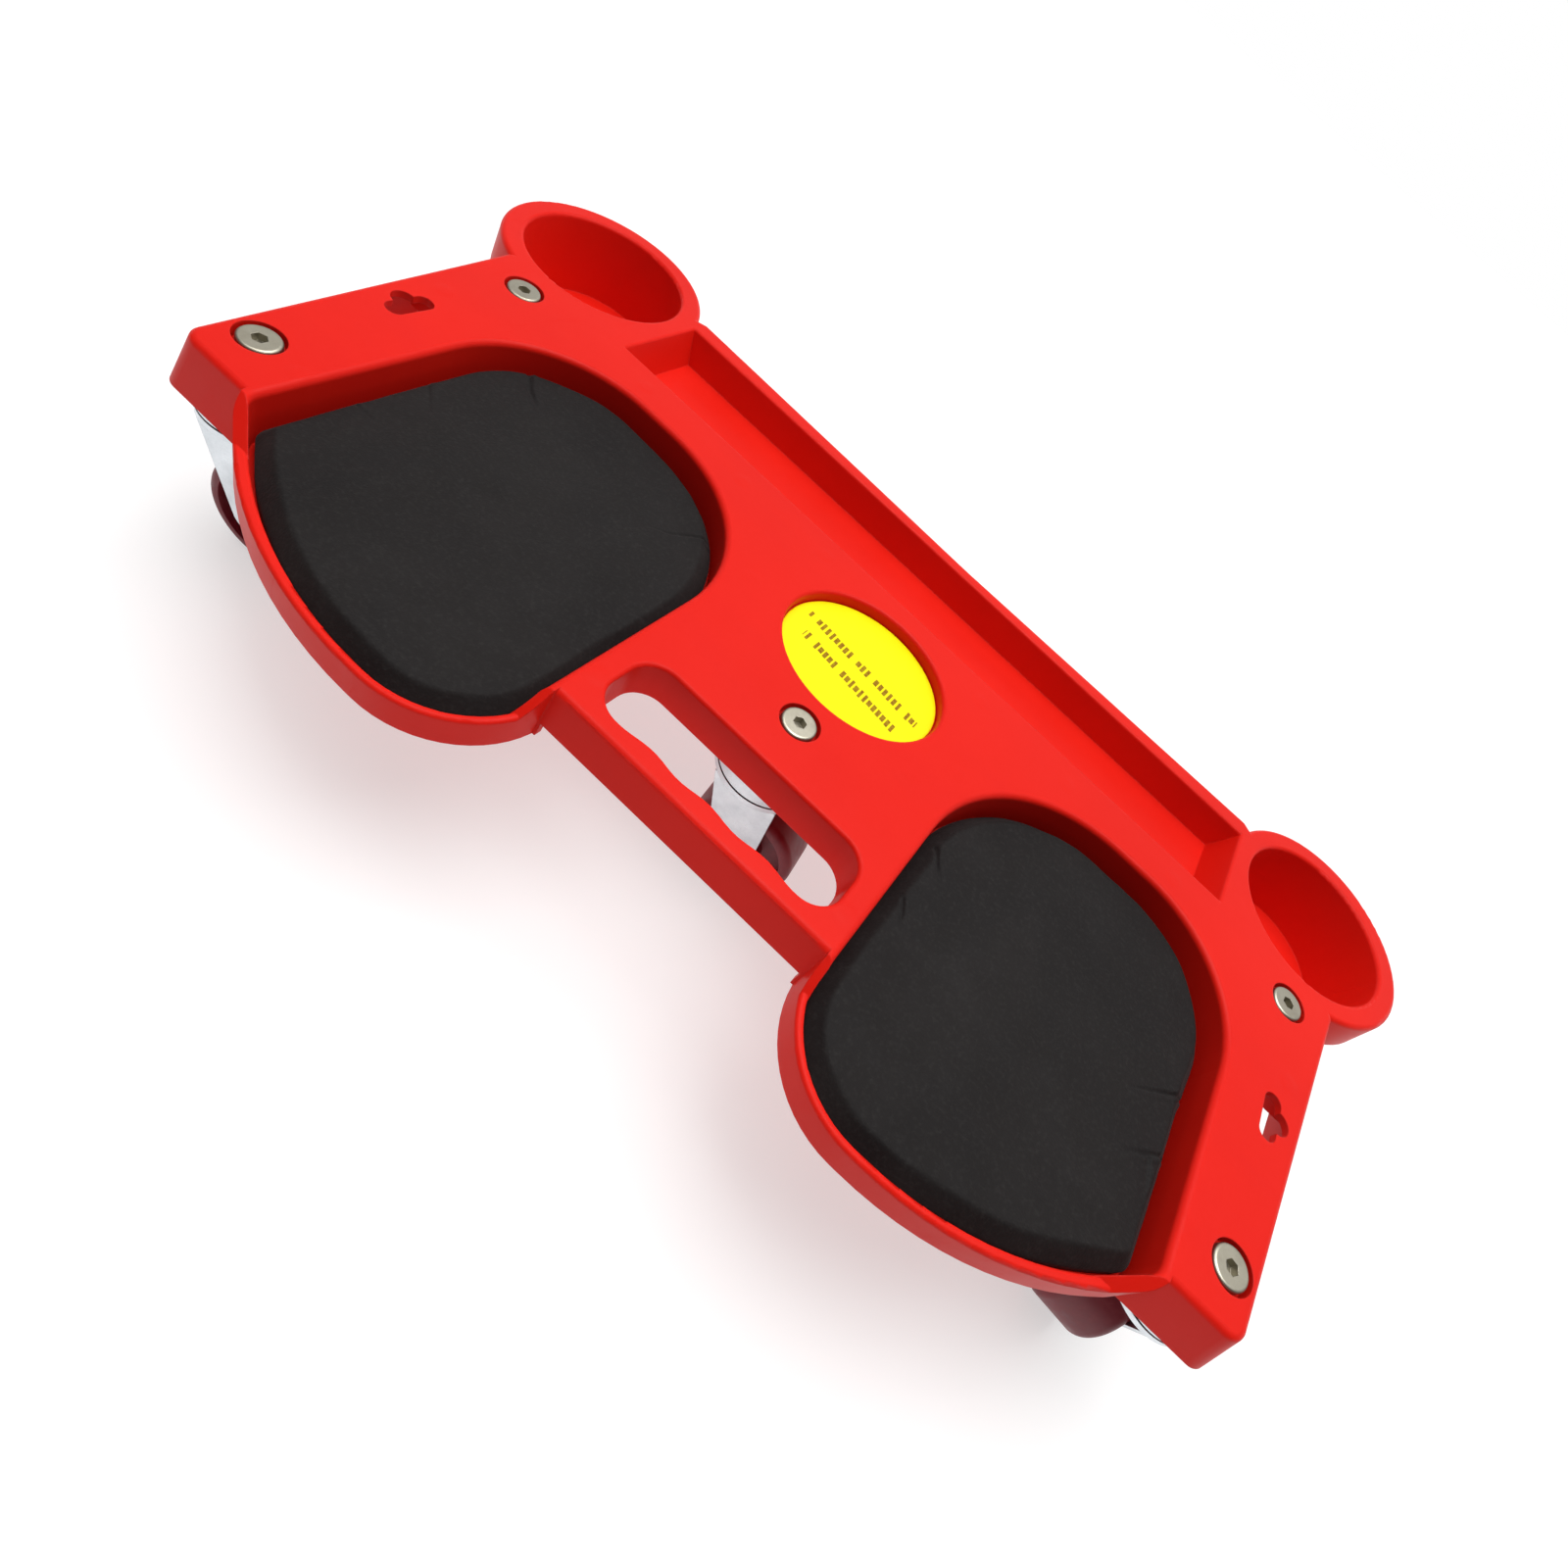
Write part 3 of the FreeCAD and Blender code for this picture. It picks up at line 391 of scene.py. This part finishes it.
# the label's dashes, in metres: half length of a row, its level, its slope and its start
DASH_ROWS = (
    (0.0325, 0.0025, -0.11, 0.0),
    (0.0275, -0.0096, -0.13, 0.0013),
)
DASH_TALL = 0.0056
DASH_PITCH = 0.0027
ROW_SEED_STEP = 17.0


def label_print(centre):
    """Yellow plate with two slanting rows of plain brown dashes."""
    graph = Graph("label_print")
    x, y = graph.plan_axes()
    across = graph.math("SUBTRACT", x, centre.x)
    up = graph.math("SUBTRACT", y, centre.y)
    ink = None
    for row, (half, level, slope, start) in enumerate(DASH_ROWS):
        curve = graph.math("ADD", level, graph.math("MULTIPLY", across, slope))
        off = graph.math("ABSOLUTE", graph.math("SUBTRACT", up, curve))
        cell = graph.math("DIVIDE", graph.math("ADD", across, 1.0 + start), DASH_PITCH)
        step = graph.math("FLOOR", cell)
        pick = graph.add("ShaderNodeTexWhiteNoise")
        pick.noise_dimensions = "1D"
        graph.link(graph.math("ADD", step, ROW_SEED_STEP * row), pick.inputs["W"])
        gap = graph.math("ABSOLUTE", graph.math("SUBTRACT", graph.math("FRACT", cell), 0.5))
        width = graph.span(pick.outputs["Value"], 0.0, 1.0, 0.22, 0.40)
        reach = graph.span(pick.outputs["Value"], 0.0, 1.0, DASH_TALL * 0.5, DASH_TALL * 0.30)
        inside = graph.math("LESS_THAN", gap, width)
        dash = graph.math("MULTIPLY", inside, graph.math("LESS_THAN", off, reach))
        keep = graph.math("LESS_THAN", graph.math("ABSOLUTE", across), half)
        word = graph.math("GREATER_THAN", pick.outputs["Value"], 0.10)
        dash = graph.math("MULTIPLY", graph.math("MULTIPLY", dash, keep), word)
        ink = dash if ink is None else graph.math("MAXIMUM", ink, dash)
    cloud = graph.noise(70.0, 3.0, 0.6)
    fade = graph.noise(900.0, 2.0, 0.6)
    base = graph.ramp(cloud, [(0.3, (0.850, 0.740, 0.001)), (0.7, (0.890, 0.790, 0.002))])
    strength = graph.math("MULTIPLY", ink, graph.span(fade, 0.3, 0.7, 0.72, 1.0))
    graph.feed("Base Color", graph.mix(strength, base, (0.200, 0.062, 0.003)))
    graph.feed("Roughness", graph.span(cloud, 0.3, 0.7, 0.40, 0.52))
    normal = graph.bump(graph.noise(420.0, 2.0, 0.5), 0.15, 0.00010)
    normal = graph.bump(ink, 0.3, 0.00006, normal)
    graph.feed("Normal", normal)
    graph.shader.inputs["Specular IOR Level"].default_value = 0.12
    return graph.material


def paint(node, material):
    data = nodes[node].data
    data.materials.clear()
    data.materials.append(material)


# ---------------------------------------------------------------- new pieces

def mesh_piece(name, points, faces, material, body, slot, *stands_for):
    mesh = bpy.data.meshes.new(name)
    mesh.from_pydata([tuple(p) for p in points], [], faces)
    mesh.materials.append(material)
    mesh.shade_smooth()
    piece = bpy.data.objects.new(name, mesh)
    bpy.context.scene.collection.objects.link(piece)
    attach(piece, body)
    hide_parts(*stands_for)
    return piece


def ring_faces(rings, count):
    """Quads between neighbouring rings of count points, closed by a fan at the pole point at
    either end."""
    faces = []
    start = 1
    for r in range(rings - 1):
        low = start + r * count
        high = low + count
        for i in range(count):
            j = (i + 1) % count
            faces.append((low + i, low + j, high + j, high + i))
    faces += [(0, start + (i + 1) % count, start + i) for i in range(count)]
    pole = start + rings * count
    base = pole - count
    faces += [(base + i, base + (i + 1) % count, pole) for i in range(count)]
    return faces


def outline_of(node):
    """Plan outline of a CAD pad at its base, in order round its middle, in metres."""
    co = np.array([v.co for v in nodes[node].data.vertices])
    low = co[:, 2].min()
    base = np.unique(np.round(co[co[:, 2] < low + 1e-5][:, :2], 6), axis=0)
    middle = (base.min(0) + base.max(0)) / 2
    angle = np.arctan2(base[:, 1] - middle[1], base[:, 0] - middle[0])
    return base[np.argsort(angle)], middle, low


def resample(loop, count):
    """The closed polyline's points at even spacing."""
    closed = np.vstack([loop, loop[:1]])
    step = np.hypot(*np.diff(closed, axis=0).T)
    along = np.concatenate([[0], np.cumsum(step)])
    goal = np.linspace(0, along[-1], count, endpoint=False)
    return np.column_stack([np.interp(goal, along, closed[:, k]) for k in (0, 1)])


def distance_inside(points, loop):
    """Distance of each point to the closed polyline."""
    ahead = np.roll(loop, -1, axis=0)
    best = np.full(len(points), 1e9)
    for a, b in zip(loop, ahead):
        run = b - a
        t = np.clip(((points - a) @ run) / max(run @ run, 1e-18), 0, 1)
        gap = np.hypot(*(points - a - t[:, None] * run).T)
        best = np.minimum(best, gap)
    return best


def waves(points, seed, length):
    """Smooth random field between about -1 and 1 with features of the given length."""
    count = 9
    rng = np.random.RandomState(seed)
    field = np.zeros(len(points))
    for _ in range(count):
        heading = rng.uniform(0, 2 * math.pi)
        pace = 2 * math.pi / (length * rng.uniform(0.7, 1.6))
        phase = rng.uniform(0, 2 * math.pi)
        run = points[:, 0] * math.cos(heading) + points[:, 1] * math.sin(heading)
        field += np.sin(pace * run + phase)
    return field / math.sqrt(count * 2)


def crease(points, path, width, depth, lip):
    """Height change of one split in the foam: a narrow groove with a raised lip on its left."""
    full_share = 0.25
    change = np.zeros(len(points))
    path = np.array([[x * MM, (y + DECK_Y) * MM] for x, y in path])
    lengths = np.hypot(*np.diff(path, axis=0).T)
    total = lengths.sum()
    best = np.full(len(points), 1e9)
    along = np.zeros(len(points))
    side = np.zeros(len(points))
    walked = 0.0
    for a, b, length in zip(path[:-1], path[1:], lengths):
        run = b - a
        t = np.clip(((points - a) @ run) / (run @ run), 0, 1)
        off = points - a - t[:, None] * run
        gap = np.hypot(*off.T)
        near = gap < best
        best[near] = gap[near]
        along[near] = ((walked + t * length) / total)[near]
        side[near] = (run[0] * off[:, 1] - run[1] * off[:, 0])[near] / max(length, 1e-9)
        walked += length
    fade = np.clip((1 - along) / (1 - full_share), 0, 1) ** 0.7
    narrow = width * (0.45 + 0.55 * fade)
    change -= depth * fade * np.exp(-(best / narrow) ** 2)
    change += lip * fade * np.exp(-((side - 1.9 * width) / (1.7 * width)) ** 2) * (best < 5 * width)
    return change


# splits in each pad in millimetres: points along it, then its width, its depth and its lip
PAD_CREASES = {
    "left": [
        ([(-191, -91), (-183, -98.8), (-173, -104.5)], 0.9, 1.6, 0.55),
        ([(-86, -90), (-89.3, -94.5), (-95.3, -104.1), (-103, -110.3)], 0.75, 1.1, 0.45),
        ([(-203.5, -172.6), (-196.4, -172.4), (-186.5, -172.1)], 0.8, 0.45, 0.25),
        ([(-202, -136), (-198.0, -139.1), (-185.2, -149.5)], 0.8, 0.5, 0.25),
        ([(-130.5, -120.2), (-123.9, -111.5)], 1.2, 0.25, 0.15),
        ([(-70, -150), (-79, -156)], 0.8, 0.3, 0.15),
    ],
    "right": [
        ([(70.5, -131), (73.9, -137.8), (77.5, -142.3), (81.7, -150.3)], 0.75, 1.0, 0.35),
        ([(71.5, -163), (74.6, -169.4), (78.1, -181.0)], 0.75, 0.9, 0.35),
        ([(203.5, -134.5), (200.7, -136.8), (188.4, -145.5), (176.5, -153.9)], 0.75, 1.5, 0.50),
        ([(201.5, -164.5), (198.0, -166.9), (190.3, -172.4), (182.0, -178.0)], 0.75, 1.4, 0.50),
        ([(192.5, -172.0), (194.0, -175.7), (195.3, -184.1)], 0.9, 0.4, 0.25),
        ([(206.5, -117), (203.0, -119.5)], 0.7, 0.9, 0.30),
    ],
}

# levels in the deck's drawing frame and the worn bevel's width, in millimetres
PAD_TOP = -8.5
PAD_SHOULDER = -14.6
BEVEL_WIDTH = 5.6

PAD_SEEDS = {"left": 5, "right": 11}
RIM_POINTS = 900


def foam_pad(side, material):
    """Foam knee pad: crowned top, worn bevel, splits and dents near its edges."""
    loop, middle, base = outline_of("knee_pad_" + side)
    count = RIM_POINTS
    rim = resample(loop, count)
    seed = PAD_SEEDS[side]
    pull = 0.00035 + 0.0003 * waves(rim, seed, 0.05)
    if side == "right":
        dip = (rim[:, 0] > 0.15) * np.exp(-(((rim[:, 1] - (DECK_Y - 146) * MM) / 0.017) ** 2))
        pull = pull + 0.0010 * dip
    radius = np.hypot(*(rim - middle).T)
    rim = middle + (rim - middle) * (1 - np.clip(pull, 0, None) / radius)[:, None]
    shares = np.concatenate([np.linspace(1.0, 0.86, 30), np.linspace(0.86, 0.02, 62)[1:]])
    plan = np.vstack([middle + (rim - middle) * s for s in shares] + [middle[None, :]])
    gap = distance_inside(plan, resample(rim, 400))
    gap[:count] = 0.0
    bevel = (BEVEL_WIDTH + 0.5 * waves(plan, seed + 1, 0.04)) * MM
    slope = PAD_SHOULDER * MM + (PAD_TOP - PAD_SHOULDER) * MM * gap / bevel
    crown = PAD_TOP * MM + 0.0004 * np.clip(gap / 0.05, 0, 1)
    crown = crown + 0.00022 * waves(plan, seed + 2, 0.055)
    sharp = 0.0011
    blend = np.clip(0.5 + 0.5 * (crown - slope) / sharp, 0, 1)
    height = crown * (1 - blend) + slope * blend - sharp * blend * (1 - blend)
    height += 0.00010 * waves(plan, seed + 3, 0.012)
    for path, width, depth, lip in PAD_CREASES[side]:
        height += crease(plan, path, width * MM, depth * MM, lip * MM)
    rounding = 0.0007
    height -= 0.0005 * np.clip(1 - gap / rounding, 0, 1) ** 2
    height += DECK_Z * MM
    rise = height[:count]
    wall = []
    for share, inset in ((0.0, 0.0004), (0.08, 0.0), (0.55, 0.0), (0.9, 0.0)):
        ring = middle + (rim - middle) * (1 - inset / radius)[:, None]
        wall.append(np.column_stack([ring, base + (rise - base) * share]))
    floor = np.full(count, base)
    under = [np.column_stack([middle + (rim - middle) * s, floor]) for s in (0.3, 0.7, 0.97)]
    pole = np.array([[middle[0], middle[1], base]])
    points = np.vstack([pole] + under + wall + [np.column_stack([plan, height])])
    rings = len(under) + len(wall) + len(shares)
    faces = ring_faces(rings, count)
    name = "knee_pad_foam_" + side
    piece = mesh_piece(name, points, faces, material, "board", "pad_foam", "knee_pad_" + side)


def label_piece():
    """Oval plate with a softened rim and a flat face."""
    low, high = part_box("label_plate")
    centre = (low + high) / 2
    half = (high - low) / 2
    count = 240
    turn = np.linspace(0, 2 * math.pi, count, endpoint=False)
    ellipse = np.column_stack([half.x * np.cos(turn), half.y * np.sin(turn)])
    soft = 0.00022
    layers = [(0.5, low.z), (0.96, low.z), (1.0 - 0.0002 / half.x, low.z), (1.0, low.z + 0.0001)]
    layers += [(1.0, high.z - soft), (1.0 - 0.0001 / half.x, high.z - 0.3 * soft)]
    layers += [(1.0 - 0.0004 / half.x, high.z)]
    layers += [(s, high.z) for s in np.linspace(0.97, 0.05, 12)]
    points = [np.array([[centre.x, centre.y, low.z]])]
    for share, level in layers:
        ring = ellipse * share + np.array([centre.x, centre.y])
        points.append(np.column_stack([ring, np.full(count, level)]))
    points.append(np.array([[centre.x, centre.y, high.z]]))
    faces = ring_faces(len(layers), count)
    face = label_print(centre)
    mesh_piece("label_printed", np.vstack(points), faces, face, "board", "label_yellow", "label_plate")


# ---------------------------------------------------------------- build

bpy.context.scene.view_settings.view_transform = "Standard"
make_camera()
make_world()
make_floor()
make_light("key", (0.12, 0.24, 1.60), (0.0, -0.04, 0.05), (1.4, 1.2), 22.0)
make_light("overhead", (-0.45, -0.10, 1.5), (0.0, 0.0, 0.05), (1.2, 1.2), 7.5)

paint("deck", red_plastic())
finishes = {
    "cap_nut": metal("nickel_plate", (0.50, 0.47, 0.38), (0.36, 0.33, 0.26), 0.32),
    "top_plate": metal("zinc_plate", (0.72, 0.76, 0.79), (0.60, 0.64, 0.67), 0.26, 0.4),
    "stem": metal("stem_steel", (0.60, 0.60, 0.61), (0.48, 0.48, 0.50), 0.30, 0.2),
    "swivel_balls": metal("bearing_steel", (0.70, 0.70, 0.71), (0.60, 0.60, 0.62), 0.12, 0.1, 0.04),
    "axle": metal("axle_steel", (0.66, 0.67, 0.68), (0.52, 0.53, 0.55), 0.28, 0.7),
    "sleeve": metal("sleeve_steel", (0.62, 0.62, 0.62), (0.50, 0.50, 0.51), 0.32, 0.3),
    "wheel": wheel_plastic(),
}
finishes["fork"] = finishes["top_plate"]
finishes["axle_nut"] = finishes["axle"]
for kind, material in finishes.items():
    for corner in CORNERS:
        paint(kind + "_" + corner, material)
foam = pad_foam()
for side in ("left", "right"):
    foam_pad(side, foam)
label_piece()

bpy.context.view_layer.update()
